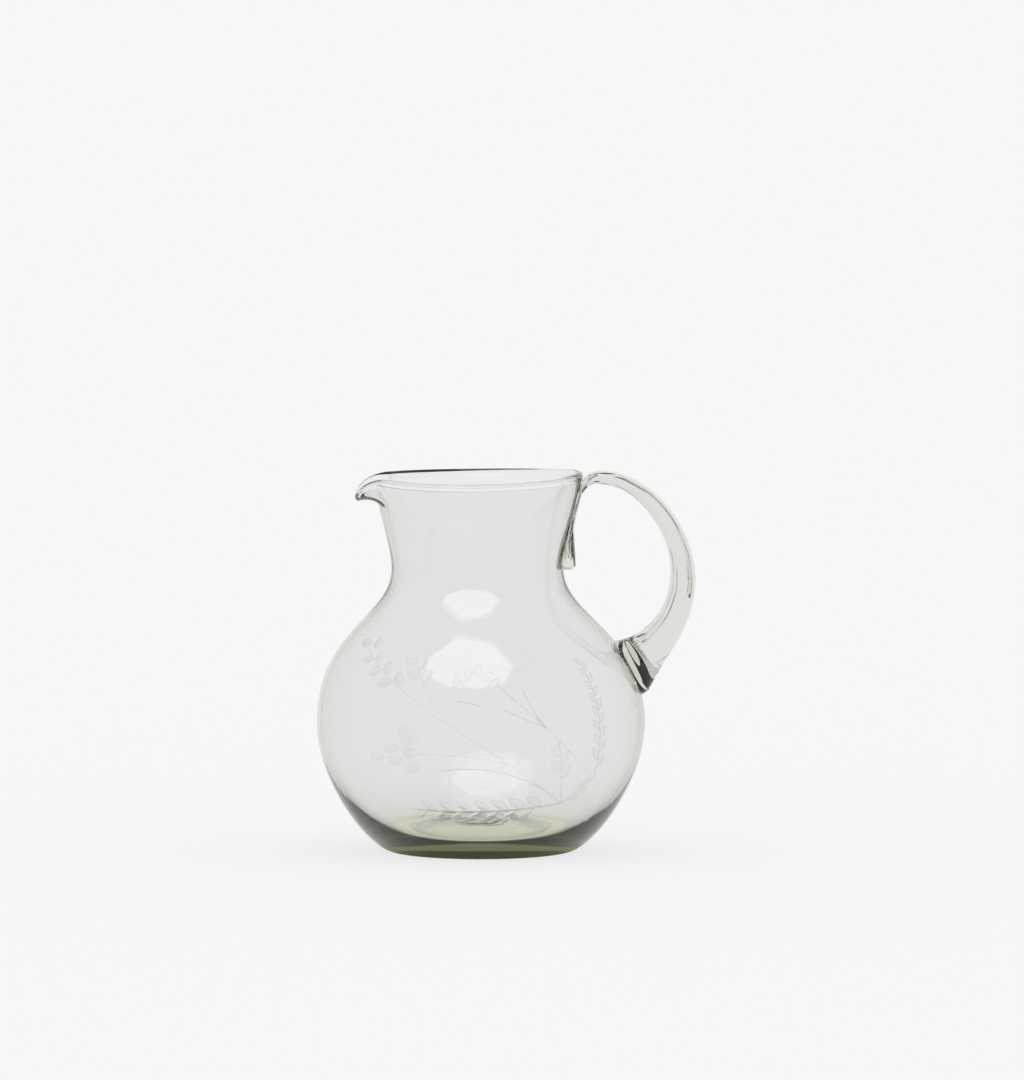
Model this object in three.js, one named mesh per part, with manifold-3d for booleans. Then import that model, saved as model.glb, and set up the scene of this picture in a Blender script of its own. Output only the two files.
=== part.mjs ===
// Hand-blown glass pitcher: a blown body with a pulled pouring lip, an applied strap handle whose
// tail is folded down the neck, and the pontil scar under the base.
// Millimetres, +Z up, the lip towards -X, the handle towards +X, standing on z = 0.

import * as THREE from "three";
import Module from "manifold-3d";
import { mergeVertices } from "three/addons/utils/BufferGeometryUtils.js";

const wasm = await Module();
wasm.setup();

// Outer wall of the blown body
const height = 204.2; // table to rim
const rimRadius = 57.2;
const neckRadius = 46.6; // narrowest ring
const neckHeight = 154;
const bowlRadius = 89.2; // widest ring
const bowlHeight = 70;
const standRadius = 48; // outer edge of the ring that it stands on
const standWidth = 9;
const kickHeight = 6; // pushed-up underside, at the axis

// How far each curve of the outer wall keeps the direction of its end
const heelReach = 14.2;
const heelRise = 1.6;
const bellyFullness = 31;
const shoulderFullness = 49.5;
const throatFullness = 26.5;
const neckFullness = 10;
const rimFullness = 10;
const rimFlare = 14; // degrees outwards at the rim

// Glass thickness and the inside of the bowl
const rimWall = 3.2;
const beadSwell = 0.2; // how far the fire-polished bead stands out on each side of the rim's wall
const beadLop = 0.6; // 0 is a round bead, higher slopes its top down to the outside
const neckWall = 2.8;
const bowlWall = 2.6;
const baseThickness = 9; // glass at the axis
const troughRadius = 47; // lowest ring of the inner floor, round its raised middle
const troughHeight = 8;
const troughReach = 14;
const troughRise = 1.5;
const innerFullness = 31;

// Hand work: the lip bent out of the rim, and the small lean and tilt of a free-blown neck
const lipLength = 18; // bend line below the rim
const lipBendRadius = 8;
const lipAngle = 92; // degrees of bend at the middle
const lipHalfAngle = 31; // degrees round the rim from its middle to where it fades out
const neckLean = 1.8; // towards the lip
const rimTilt = 0.8; // rim rise on the handle side
const rimSaddle = 1.4; // rim rise at both the lip and the handle

// Applied strap handle, sizes of its centre line
const footHeight = 100.5; // middle of the foot on the bowl
const footLean = 37; // degrees above the horizontal as it leaves the bowl
const footStretch = 24;
const gripStandoff = 20.4; // farthest point beyond the bowl's widest ring
const gripHeight = 150;
const gripStretchDown = 22;
const gripStretchUp = 26;
const crownStandoff = 8.6; // from the rim's edge
const crownDrop = 0.9; // below the rim's height
const crownStretch = 24;
const bendDrop = 11; // where the folded tail starts, below the rim
const bendStretch = 5.5;
const tailLength = 40; // folded part on the neck

// Strap sections: thickness in the plane of the handle, width across it
const footThickness = 33;
const footSpread = 16; // length over which the foot's thickness draws down to the strap's
const footWidth = 30;
const footPad = 3; // part of the foot that keeps its width
const footStep = 6; // length over which the width then draws in
const leastStep = 2;
const padSlant = 0.24; // how much thinner the pad gets towards the underside, per length across
const stepSlant = 0.25; // and how much longer the step
const padWrap = 20; // length over which the foot follows the bowl's roundness
const gripThickness = 13.6;
const gripWidth = 16.5;
const crownThickness = 7.1;
const crownWidth = 16;
const tailThickness = 3;
const tailEndThickness = 8.2;
const tailSwell = 0.3; // share of the tail before it starts to thicken
const tailWidth = 16;
const sectionPower = 2.8; // 2 is an ellipse, higher is squarer

// Hot seals
const sealGap = 0.3; // between two gathers
const footSink = 4; // strap carried into the bowl before it is trimmed to it
const tailSink = 1.4; // tail carried into the neck before it is trimmed to it
const mouthClearance = 30; // space above the rim that the strap is kept out of

// Pontil scar
const scarRadius = 15;
const scarThickness = 1.9;
const scarHollow = 0.5; // dip in the middle of the broken face
const scarRagged = 0.9; // in and out of its edge
const scarLobes = 5;

// Facets
const turnSteps = 72;
const domeSteps = 6;
const floorSteps = 5;
const bowlSteps = 10;
const shoulderSteps = 12;
const neckSteps = 7;
const beadSteps = 7;
const footSteps = 14;
const strapSteps = 44;
const strapSides = 20;
const tailPoints = 9;
const scarSteps = 40;
const wallSamples = 240;
const coreSamples = 40;

const clearGreenGlass = { color: 0xdfe4d8, metalness: 0, transparent: true, opacity: 0.4 };
const polishedRoughness = 0.04;
const brokenRoughness = 0.35;

// Curves of the wall, as radius (x) and height (y)

const point = (x, y) => new THREE.Vector2(x, y);
const cubic = (a, b, c, d) => new THREE.CubicBezierCurve(a, b, c, d);
const smooth = (t) => THREE.MathUtils.smoothstep(t, 0, 1);
const mix = (from, to, share) => THREE.MathUtils.lerp(from, to, smooth(share));
const beadRadius = rimWall / 2 + beadSwell;
const beadStart = Math.acos(rimWall / 2 / beadRadius); // angle at which the bead leaves the wall
const beadMiddle = rimRadius - rimWall / 2;
const beadHeight = height - beadRadius;
const rimEdge = beadHeight - beadRadius * Math.sin(beadStart); // where the wall ends in the bead
const flareAngle = THREE.MathUtils.degToRad(rimFlare);
const flare = point(Math.sin(flareAngle), Math.cos(flareAngle));

function upperWall(bowl, neck, rim) {
  const belly = point(bowl, bowlHeight);
  const throat = point(neck, neckHeight);
  const edge = point(rim, rimEdge);
  const overBelly = point(bowl, bowlHeight + shoulderFullness);
  const underThroat = point(neck, neckHeight - throatFullness);
  const overThroat = point(neck, neckHeight + neckFullness);
  const underEdge = edge.clone().addScaledVector(flare, -rimFullness);
  return [cubic(belly, overBelly, underThroat, throat), cubic(throat, overThroat, underEdge, edge)];
}

const lowerOuter = cubic(
  point(standRadius, 0),
  point(standRadius + heelReach, heelRise),
  point(bowlRadius, bowlHeight - bellyFullness),
  point(bowlRadius, bowlHeight),
);
const [shoulderOuter, neckOuter] = upperWall(bowlRadius, neckRadius, rimRadius);
const insideRadius = bowlRadius - bowlWall;
const [shoulderInner, neckInner] = upperWall(insideRadius, neckRadius - neckWall, rimRadius - rimWall);
const lowerInner = cubic(
  point(troughRadius, troughHeight),
  point(troughRadius + troughReach, troughHeight + troughRise),
  point(insideRadius, bowlHeight - innerFullness),
  point(insideRadius, bowlHeight),
);

// A point of the bead, whose top slopes down to the outside
function beadPoint(angle, radius) {
  const lop = Math.sin(angle) > 0 ? 1 - beadLop * Math.cos(angle) : 1;
  return point(beadMiddle + radius * Math.cos(angle), beadHeight + radius * Math.sin(angle) * lop);
}

function beadPoints(steps) {
  return Array.from({ length: steps }, (_, i) => {
    const share = (i + 1) / steps;
    return beadPoint(THREE.MathUtils.lerp(-beadStart, Math.PI + beadStart, share), beadRadius);
  });
}

// The underside and the inner floor are low domes, along half a cosine wave from the axis to their foot
function raised(radius, reach, low, high) {
  return THREE.MathUtils.lerp(low, high, (1 + Math.cos((Math.PI * radius) / reach)) / 2);
}

const kickRadius = standRadius - standWidth;
const kickAt = (radius) => raised(radius, kickRadius, 0, kickHeight);
const floorAt = (radius) => raised(radius, troughRadius, troughHeight, kickHeight + baseThickness);

function along(curve, steps) {
  return curve.getSpacedPoints(steps).slice(1);
}

function downwards(curve, steps) {
  return curve.getSpacedPoints(steps).reverse().slice(1);
}

function domePoints(steps, outerRadius, drop) {
  return Array.from({ length: steps + 1 }, (_, i) => {
    const radius = (outerRadius * i) / steps;
    return point(radius, kickAt(radius) - drop);
  });
}

function floorPoints(steps) {
  return Array.from({ length: steps }, (_, i) => {
    const radius = troughRadius * (1 - (i + 1) / steps);
    return point(radius, floorAt(radius));
  });
}

// The outer wall's radius at a height, from the same curves
const outerWall = new THREE.CurvePath();
outerWall.curves.push(lowerOuter, shoulderOuter, neckOuter);
const wallLine = outerWall.getSpacedPoints(wallSamples);

function wallRadius(z) {
  const next = Math.max(1, wallLine.findIndex((p) => p.y >= z));
  const low = wallLine[next - 1];
  const high = wallLine[next];
  return THREE.MathUtils.mapLinear(z, low.y, high.y, low.x, high.x);
}

// Solids

function turned(profile, steps) {
  return new THREE.LatheGeometry(profile, steps).rotateX(Math.PI / 2);
}

function welded(geometry) {
  geometry.deleteAttribute("normal");
  geometry.deleteAttribute("uv");
  const merged = mergeVertices(geometry);
  const corners = merged.index.array;
  const kept = [];
  for (let i = 0; i < corners.length; i += 3) {
    const [a, b, c] = corners.subarray(i, i + 3);
    if (a !== b && b !== c && c !== a) kept.push(a, b, c);
  }
  merged.setIndex(kept);
  return merged;
}

function moved(geometry, move) {
  const position = geometry.attributes.position;
  const v = new THREE.Vector3();
  for (let i = 0; i < position.count; i += 1) {
    v.fromBufferAttribute(position, i);
    move(v);
    position.setXYZ(i, v.x, v.y, v.z);
  }
  return geometry;
}

function toSolid(geometry) {
  const vertProperties = new Float32Array(geometry.attributes.position.array);
  const triVerts = new Uint32Array(geometry.index.array);
  return new wasm.Manifold(new wasm.Mesh({ numProp: 3, vertProperties, triVerts }));
}

function toGeometry(solid) {
  const mesh = solid.getMesh();
  const geometry = new THREE.BufferGeometry();
  geometry.setAttribute("position", new THREE.BufferAttribute(mesh.vertProperties, 3));
  geometry.setIndex(new THREE.BufferAttribute(mesh.triVerts, 1));
  return geometry;
}

function glassPiece(name, geometry, roughness) {
  geometry.computeVertexNormals();
  const mesh = new THREE.Mesh(geometry, new THREE.MeshStandardMaterial({ ...clearGreenGlass, roughness }));
  mesh.name = name;
  return mesh;
}

// Hand work on the blown wall

const leanAt = (z) => neckLean * smooth((z - bowlHeight) / (neckHeight - bowlHeight));

function leanAndTilt(v) {
  const rise = smooth((v.z - neckHeight) / (height - neckHeight));
  const side = v.x / rimRadius;
  v.z += rise * (rimTilt * side + rimSaddle * side * side);
  v.x -= leanAt(v.z);
}

// The lip: above its bend line the wall turns outwards round the bend radius and then runs straight.
// The bend fades to nothing on both sides of the middle of the lip.
const lipRoot = height - lipLength;
const lipRootRadius = wallRadius(lipRoot);

function pullLip(v) {
  const rise = v.z - lipRoot;
  const turn = Math.atan2(v.y, -v.x);
  const fade = Math.min(1, Math.abs(THREE.MathUtils.radToDeg(turn)) / lipHalfAngle);
  const fullBend = THREE.MathUtils.degToRad(lipAngle) * Math.cos((fade * Math.PI) / 2) ** 2;
  if (rise <= 0 || fullBend === 0) return;
  const bend = Math.min(fullBend, rise / lipBendRadius);
  const straight = rise - bend * lipBendRadius;
  const offset = Math.hypot(v.x, v.y) - lipRootRadius;
  const out = lipBendRadius * (1 - Math.cos(bend)) + straight * Math.sin(bend) + offset * Math.cos(bend);
  const up = lipBendRadius * Math.sin(bend) + straight * Math.cos(bend) - offset * Math.sin(bend);
  const radius = lipRootRadius + out;
  v.set(-radius * Math.cos(turn), radius * Math.sin(turn), lipRoot + up);
}

function blownBody() {
  const profile = [
    ...domePoints(domeSteps, kickRadius, 0),
    point(standRadius, 0),
    ...along(lowerOuter, bowlSteps),
    ...along(shoulderOuter, shoulderSteps),
    ...along(neckOuter, neckSteps),
    ...beadPoints(beadSteps),
    ...downwards(neckInner, neckSteps),
    ...downwards(shoulderInner, shoulderSteps),
    ...downwards(lowerInner, bowlSteps),
    ...floorPoints(floorSteps),
  ];
  const wall = welded(turned(profile, turnSteps));
  moved(wall, pullLip);
  moved(wall, leanAndTilt);
  return glassPiece("blown_body", wall, polishedRoughness);
}

// Everything inside the outer wall grown by the seal gap, and the space above the mouth
function trimmingCore() {
  const line = outerWall.getSpacedPoints(coreSamples);
  const grown = line.map((p, i) => {
    const before = line[Math.max(0, i - 1)];
    const after = line[Math.min(line.length - 1, i + 1)];
    const direction = after.clone().sub(before).normalize();
    return point(p.x + direction.y * sealGap, p.y - direction.x * sealGap);
  });
  const bead = [-beadStart / 2, 0].map((angle) => beadPoint(angle, beadRadius + sealGap));
  const top = height + mouthClearance;
  const profile = [point(0, -sealGap), ...grown, ...bead, point(bead[1].x, top), point(0, top)];
  return toSolid(moved(welded(turned(profile, turnSteps)), leanAndTilt));
}

// Strap handle: a loft of rounded sections along a centre line in the XZ plane

function tailThicknessAt(share) {
  return mix(tailThickness, tailEndThickness, (share - tailSwell) / (1 - tailSwell));
}

function handleLine() {
  const wallAt = (z) => point(wallRadius(z) - leanAt(z), z);
  const tangent = wallAt(footHeight + 1).sub(wallAt(footHeight - 1)).normalize();
  const out = point(tangent.y, -tangent.x);
  const leave = THREE.MathUtils.degToRad(footLean);
  const foot = wallAt(footHeight).addScaledVector(out, -footSink);
  const grip = point(bowlRadius + gripStandoff, gripHeight);
  const crown = point(wallAt(rimEdge).x + crownStandoff, height - crownDrop);
  const tailTop = height - bendDrop;
  const tail = Array.from({ length: tailPoints }, (_, i) => {
    const share = i / (tailPoints - 1);
    const middle = tailThicknessAt(share) / 2 - tailSink;
    return wallAt(tailTop - share * tailLength).add(point(middle, 0));
  });
  const tailStart = tail[0].clone().sub(tail[1]).normalize();
  const line = new THREE.CurvePath();
  line.curves.push(
    cubic(
      foot,
      foot.clone().add(point(Math.cos(leave), Math.sin(leave)).multiplyScalar(footStretch)),
      point(grip.x, grip.y - gripStretchDown),
      grip,
    ),
    cubic(
      grip,
      point(grip.x, grip.y + gripStretchUp),
      point(crown.x + crownStretch, crown.y),
      crown,
    ),
    cubic(
      crown,
      point(crown.x - bendStretch, crown.y),
      tail[0].clone().addScaledVector(tailStart, bendStretch),
      tail[0],
    ),
    new THREE.SplineCurve(tail),
  );
  return line;
}

// Thickness at a length along the centre line
function strapThickness(length, [footEnd, gripEnd, crownEnd, tailEnd]) {
  if (length < footEnd) {
    const out = Math.max(0, length - footSink);
    return THREE.MathUtils.lerp(gripThickness, footThickness, Math.exp(-out / footSpread));
  }
  if (length < gripEnd) {
    return THREE.MathUtils.lerp(gripThickness, crownThickness, (length - footEnd) / (gripEnd - footEnd));
  }
  if (length < crownEnd) return mix(crownThickness, tailThickness, (length - gripEnd) / (crownEnd - gripEnd));
  return tailThicknessAt((length - crownEnd) / (tailEnd - crownEnd));
}

// Width there, at an offset from the centre line towards the handle's outside
function strapWidth(length, offset, [footEnd, gripEnd, crownEnd]) {
  if (length < footEnd) {
    const start = footSink + footPad - padSlant * offset;
    const step = Math.max(leastStep, footStep + stepSlant * offset);
    return mix(footWidth, gripWidth, (length - start) / step);
  }
  if (length < gripEnd) return mix(gripWidth, crownWidth, (length - footEnd) / (gripEnd - footEnd));
  return mix(crownWidth, tailWidth, (length - gripEnd) / (crownEnd - gripEnd));
}

const powered = (value) => Math.sign(value) * Math.abs(value) ** (2 / sectionPower);

function strapLoft(line) {
  const ends = line.getCurveLengths();
  const total = ends[ends.length - 1];
  const stations = [
    ...Array.from({ length: footSteps }, (_, i) => (padWrap * i) / footSteps),
    ...Array.from({ length: strapSteps + 1 }, (_, i) => THREE.MathUtils.lerp(padWrap, total, i / strapSteps)),
  ];
  const across = new THREE.Vector3(0, 1, 0);
  const positions = [];
  const corners = [];
  const addPoint = (v) => positions.push(v.x, v.y, v.z);
  stations.forEach((length) => {
    const place = line.getPointAt(length / total);
    const heading = line.getTangentAt(length / total);
    const normal = across.clone().cross(new THREE.Vector3(heading.x, 0, heading.y));
    const thickness = strapThickness(length, ends);
    const wrap = smooth(1 - length / padWrap) / (2 * wallRadius(footHeight));
    for (let j = 0; j < strapSides; j += 1) {
      const angle = (2 * Math.PI * j) / strapSides;
      const offset = (powered(Math.cos(angle)) * thickness) / 2;
      const aside = (powered(Math.sin(angle)) * strapWidth(length, offset, ends)) / 2;
      const v = new THREE.Vector3(place.x - wrap * aside * aside, aside, place.y);
      addPoint(v.addScaledVector(normal, offset));
    }
  });
  const last = stations.length - 1;
  for (let i = 0; i < last; i += 1) {
    for (let j = 0; j < strapSides; j += 1) {
      const a = i * strapSides + j;
      const b = i * strapSides + ((j + 1) % strapSides);
      corners.push(a, b, b + strapSides, a, b + strapSides, a + strapSides);
    }
  }
  [0, 1].forEach((end) => {
    const place = line.getPointAt(end);
    const middle = positions.length / 3;
    const ring = end * last * strapSides;
    addPoint(new THREE.Vector3(place.x, 0, place.y));
    for (let j = 0; j < strapSides; j += 1) {
      const a = ring + j;
      const b = ring + ((j + 1) % strapSides);
      corners.push(middle, end ? a : b, end ? b : a);
    }
  });
  const geometry = new THREE.BufferGeometry();
  geometry.setAttribute("position", new THREE.Float32BufferAttribute(positions, 3));
  geometry.setIndex(corners);
  return geometry;
}

function appliedHandle() {
  const strap = toSolid(strapLoft(handleLine()));
  return glassPiece("applied_handle", toGeometry(strap.subtract(trimmingCore())), polishedRoughness);
}

// Pontil scar: a wad under the dome, its broken face hollow and its edge ragged
function pontilScar() {
  const underside = kickAt(scarRadius) - sealGap - scarThickness;
  const profile = [
    point(0, underside + scarHollow),
    point(scarRadius / 2, underside + scarHollow / 2),
    point(scarRadius - scarThickness / 2, underside),
    ...domePoints(domeSteps, scarRadius, sealGap).reverse(),
  ];
  const wad = moved(welded(turned(profile, scarSteps)), (v) => {
    const radius = Math.hypot(v.x, v.y);
    const wave = Math.cos(scarLobes * Math.atan2(v.y, v.x));
    const scale = 1 - (scarRagged * (1 + wave) * radius) / (2 * scarRadius * scarRadius);
    v.x *= scale;
    v.y *= scale;
  });
  return glassPiece("pontil_scar", wad, brokenRoughness);
}

// The origin is under the middle of the whole pitcher, handle included
const pitcher = new THREE.Group();
pitcher.add(blownBody(), appliedHandle(), pontilScar());
pitcher.position.x = -new THREE.Box3().setFromObject(pitcher).getCenter(new THREE.Vector3()).x;

export default pitcher;
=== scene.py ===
import math

import bpy
import numpy as np
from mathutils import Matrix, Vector


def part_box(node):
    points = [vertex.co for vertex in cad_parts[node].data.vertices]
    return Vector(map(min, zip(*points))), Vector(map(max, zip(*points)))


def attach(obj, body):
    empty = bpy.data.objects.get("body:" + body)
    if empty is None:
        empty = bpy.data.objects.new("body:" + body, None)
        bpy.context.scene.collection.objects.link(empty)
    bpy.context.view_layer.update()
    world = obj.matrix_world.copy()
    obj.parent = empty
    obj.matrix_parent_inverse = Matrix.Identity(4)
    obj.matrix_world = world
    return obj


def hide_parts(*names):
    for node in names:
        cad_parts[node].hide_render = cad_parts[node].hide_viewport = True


# Hand-blown glass pitcher: body, strap handle and pontil scar, each one closed surface made with numpy.
# Lengths in the settings are millimetres, heights are above the table, angles are degrees.

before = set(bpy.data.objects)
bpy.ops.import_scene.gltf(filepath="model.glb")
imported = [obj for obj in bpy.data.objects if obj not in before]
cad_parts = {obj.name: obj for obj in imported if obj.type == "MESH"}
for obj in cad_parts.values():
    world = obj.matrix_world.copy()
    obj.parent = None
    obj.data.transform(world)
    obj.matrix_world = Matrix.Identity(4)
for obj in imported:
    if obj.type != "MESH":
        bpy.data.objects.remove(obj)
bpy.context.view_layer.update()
mm = 0.001
farOutside = -5.0  # depth that stands for well outside a seal or a cut, in mm


# Small helpers

def linearColour(hexValue):  # sRGB hex to linear RGBA
    srgb = np.array([int(hexValue[i:i + 2], 16) for i in (0, 2, 4)]) / 255
    light = np.where(srgb <= 0.04045, srgb / 12.92, ((srgb + 0.055) / 1.055) ** 2.4)
    return (*(float(v) for v in light), 1.0)


def addNode(tree, kind, feeds=None, **settings):  # a node with its settings, values and links
    node = tree.nodes.new(kind)
    for key, value in settings.items():
        setattr(node, key, value)
    for socket, value in (feeds or {}).items():
        if isinstance(value, bpy.types.NodeSocket):
            tree.links.new(value, node.inputs[socket])
        else:
            node.inputs[socket].default_value = value
    return node


def mathNode(tree, operation, a, b=0.0, **settings):  # result of one operation on two values
    return addNode(tree, "ShaderNodeMath", {0: a, 1: b}, operation=operation, **settings).outputs[0]


def blend(tree, share, first, second):  # colour between two, by a share
    return addNode(tree, "ShaderNodeMix", {0: share, 6: first, 7: second}, data_type="RGBA").outputs[2]


def ranged(tree, value, fromMin, fromMax, toMin=0.0, toMax=1.0, ease="LINEAR"):  # from one range to another
    return addNode(tree, "ShaderNodeMapRange", {
        "Value": value, "From Min": fromMin, "From Max": fromMax, "To Min": toMin, "To Max": toMax,
    }, interpolation_type=ease).outputs["Result"]


def smooth(t):  # eases from 0 to 1
    t = np.clip(t, 0, 1)
    return t * t * (3 - 2 * t)


def mixed(start, end, share):  # eases from one value to another
    return start + (end - start) * smooth(share)


def bezier(a, b, c, d, steps=4000):  # cubic curve: four points weighted by the Bernstein terms
    t = np.linspace(0, 1, steps + 1)[:, None]
    a, b, c, d = (np.asarray(p, float) for p in (a, b, c, d))
    return a * (1 - t) ** 3 + 3 * b * t * (1 - t) ** 2 + 3 * c * t ** 2 * (1 - t) + d * t ** 3


def joined(*curves):  # one line from several, with the length walked along it
    points = np.concatenate([curves[0]] + [curve[1:] for curve in curves[1:]])
    steps = np.hypot(*np.diff(points, axis=0).T)
    return points, np.concatenate([[0], np.cumsum(steps)])


def along(line, lengths):  # points of a line at given lengths
    points, walked = line
    return np.stack([np.interp(lengths, walked, points[:, k]) for k in range(2)], axis=-1)


def spread(start, end, spacing):  # even values from start to end, about a spacing apart
    return np.linspace(start, end, max(2, int(round(abs(end - start) / spacing)) + 1))


def ringQuads(start, rows, columns):  # quads between closed rings of points that follow one another
    a = start + np.arange(rows - 1)[:, None] * columns + np.arange(columns)
    b = start + np.arange(rows - 1)[:, None] * columns + (np.arange(columns) + 1) % columns
    return np.stack([a, b, b + columns, a + columns], axis=-1).reshape(-1, 4)


def endFans(columns, lastStart, endStart):  # triangles from the first and last ring to an end point each
    j = np.arange(columns)
    k = (j + 1) % columns
    first = np.stack([np.full(columns, endStart), k, j], axis=-1)
    last = np.stack([np.full(columns, endStart + 1), lastStart + j, lastStart + k], axis=-1)
    return np.concatenate([first, last])


def meshPiece(name, points, quads, triangles, attributes, material):  # arrays in millimetres to an object
    mesh = bpy.data.meshes.new(name)
    corners = np.concatenate([quads.ravel(), triangles.ravel()]).astype(np.int32)
    starts = np.concatenate([
        np.arange(len(quads)) * 4,
        len(quads) * 4 + np.arange(len(triangles)) * 3,
    ]).astype(np.int32)
    mesh.vertices.add(len(points))
    mesh.vertices.foreach_set("co", (points * mm).astype(np.float32).ravel())
    mesh.loops.add(len(corners))
    mesh.loops.foreach_set("vertex_index", corners)
    mesh.polygons.add(len(starts))
    mesh.polygons.foreach_set("loop_start", starts)
    mesh.update(calc_edges=True)
    mesh.validate()
    mesh.shade_smooth()
    for key, values in attributes.items():
        layer = mesh.attributes.new(key, "FLOAT", "POINT")
        layer.data.foreach_set("value", values.astype(np.float32).ravel())
    piece = bpy.data.objects.new(name, mesh)
    bpy.context.scene.collection.objects.link(piece)
    mesh.materials.append(material)
    return piece


# Blown body: the solid's curves, with the low waves and the uneven rim of free blowing

body = dict(
    height=204.2, rimRadius=57.2, neckRadius=46.6, neckHeight=154.0,
    bowlRadius=89.2, bowlHeight=70.0, standRadius=48.0, standWidth=9.0, kickHeight=6.0,
    heelReach=14.2, heelRise=1.6, bellyFullness=31.0, shoulderFullness=49.5, throatFullness=26.5,
    neckFullness=10.0, rimFullness=10.0, rimFlare=14.0,
    rimWall=3.2, beadSwell=0.2, neckWall=2.8, bowlWall=2.6,
    baseThickness=9.0, troughRadius=47.0, troughHeight=8.0, troughReach=14.0, troughRise=1.5,
    innerFullness=31.0, floorPoints=2000,
    lipLength=18.0, lipBendRadius=8.0, lipAngle=92.0, lipHalfAngle=31.0,
    neckLean=1.8, rimTilt=0.8, rimSaddle=1.4, rimNod=1.2,  # nod: how much lower the rim is in front
    # how much higher the bead is on its inner side, by degrees from the lip's tip: where that starts at the
    # back and in front, over how much it eases in, and its share; at the back it falls off again
    beadLop=0.6, lopTip=8.0, lopBack=(20.0, 8.0), lopBackFall=(50.0, 70.0, 0.5), lopFront=(45.0, 15.0, 0.3),
    # unevenness that free blowing leaves in each wall: waves round, turn per mm along, times the phase of
    # the wall, and height of each wave; it starts above the standing ring and fades before the rim
    rippleHeight=0.10, outerPhase=0.7, innerPhase=2.9, rippleStart=20.0, rippleFade=25.0,
    ripples=[(2, 0.021, 1, 1.0), (3, -0.034, 2, 0.8), (5, 0.052, 3, 0.6), (0, 0.11, 1, 0.4)],
)
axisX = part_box("blown_body")[1][0] / mm - body["bowlRadius"]  # the bowl's axis in the frame

beadRadius = body["rimWall"] / 2 + body["beadSwell"]
beadStart = math.acos(body["rimWall"] / 2 / beadRadius)  # where the bead leaves the wall
beadHeight = body["height"] - beadRadius
rimEdge = beadHeight - beadRadius * math.sin(beadStart)
floorPeak = body["kickHeight"] + body["baseThickness"]
kickRadius = body["standRadius"] - body["standWidth"]
insideRadius = body["bowlRadius"] - body["bowlWall"]


def upperWall(bowl, neck, rim):  # shoulder and neck curves, as radius and height
    flare = math.radians(body["rimFlare"])
    edge = np.array([rim, rimEdge])
    under = edge - body["rimFullness"] * np.array([math.sin(flare), math.cos(flare)])
    shoulder = bezier(
        (bowl, body["bowlHeight"]),
        (bowl, body["bowlHeight"] + body["shoulderFullness"]),
        (neck, body["neckHeight"] - body["throatFullness"]),
        (neck, body["neckHeight"]),
    )
    throat = bezier(
        (neck, body["neckHeight"]),
        (neck, body["neckHeight"] + body["neckFullness"]),
        under,
        edge,
    )
    return shoulder, throat


lowerOuter = bezier(
    (body["standRadius"], 0),
    (body["standRadius"] + body["heelReach"], body["heelRise"]),
    (body["bowlRadius"], body["bowlHeight"] - body["bellyFullness"]),
    (body["bowlRadius"], body["bowlHeight"]),
)


def raised(radius, reach, low, high):  # a dome from its middle to its foot, along half a cosine wave
    return low + (high - low) * (1 + np.cos(np.pi * np.minimum(1, radius / reach))) / 2


floorRadius = np.linspace(0, body["troughRadius"], body["floorPoints"])
floorDome = np.stack([
    floorRadius,
    raised(floorRadius, body["troughRadius"], body["troughHeight"], floorPeak),
], axis=-1)
heelInner = bezier(
    (body["troughRadius"], body["troughHeight"]),
    (body["troughRadius"] + body["troughReach"], body["troughHeight"] + body["troughRise"]),
    (insideRadius, body["bowlHeight"] - body["innerFullness"]),
    (insideRadius, body["bowlHeight"]),
)
outerLine = joined(lowerOuter, *upperWall(body["bowlRadius"], body["neckRadius"], body["rimRadius"]))
innerLine = joined(floorDome, heelInner, *upperWall(
    insideRadius, body["neckRadius"] - body["neckWall"], body["rimRadius"] - body["rimWall"]))


def wallRadius(z):  # of the outer wall at a height
    return np.interp(z, outerLine[0][:, 1], outerLine[0][:, 0])


def wallLength(z):  # length along the outer wall from the standing ring up to a height
    return np.interp(z, outerLine[0][:, 1], outerLine[1])


def leanAt(z):  # how far the axis has moved to the lip, eased in from the widest ring to the neck
    return body["neckLean"] * smooth((z - body["bowlHeight"]) / (body["neckHeight"] - body["bowlHeight"]))


def pullLip(x, y, z):
    # above the bend line the wall turns outwards round the bend radius, then runs straight;
    # the angle fades with the square of a cosine round the rim
    root = body["height"] - body["lipLength"]
    rootRadius = wallRadius(root)
    rise = z - root
    turn = np.arctan2(y, -x)
    fade = np.minimum(1, np.abs(np.degrees(turn)) / body["lipHalfAngle"])
    fullBend = math.radians(body["lipAngle"]) * np.cos(fade * np.pi / 2) ** 2
    bend = np.minimum(fullBend, np.maximum(rise, 0) / body["lipBendRadius"])
    straight = rise - bend * body["lipBendRadius"]
    offset = np.hypot(x, y) - rootRadius
    out = body["lipBendRadius"] * (1 - np.cos(bend)) + straight * np.sin(bend) + offset * np.cos(bend)
    up = body["lipBendRadius"] * np.sin(bend) + straight * np.cos(bend) - offset * np.sin(bend)
    radius = rootRadius + out
    bent = (rise > 0) & (fullBend > 0)
    return (
        np.where(bent, -radius * np.cos(turn), x),
        np.where(bent, radius * np.sin(turn), y),
        np.where(bent, root + up, z),
    )


def leanAndTilt(x, y, z):  # the neck leans to the lip, the rim rises to the handle, saddles and nods
    rise = smooth((z - body["neckHeight"]) / (body["height"] - body["neckHeight"]))
    side = x / body["rimRadius"]
    front = np.maximum(0, -y / body["rimRadius"])
    z = z + rise * (body["rimTilt"] * side + body["rimSaddle"] * side ** 2 - body["rimNod"] * front)
    return x - leanAt(z), y, z


# Engraved spray: stems fan out from one low point on the right, with leaves, berries and a flower.
# Stem points are millimetres across from the axis and above the table, as seen from the front.

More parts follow.
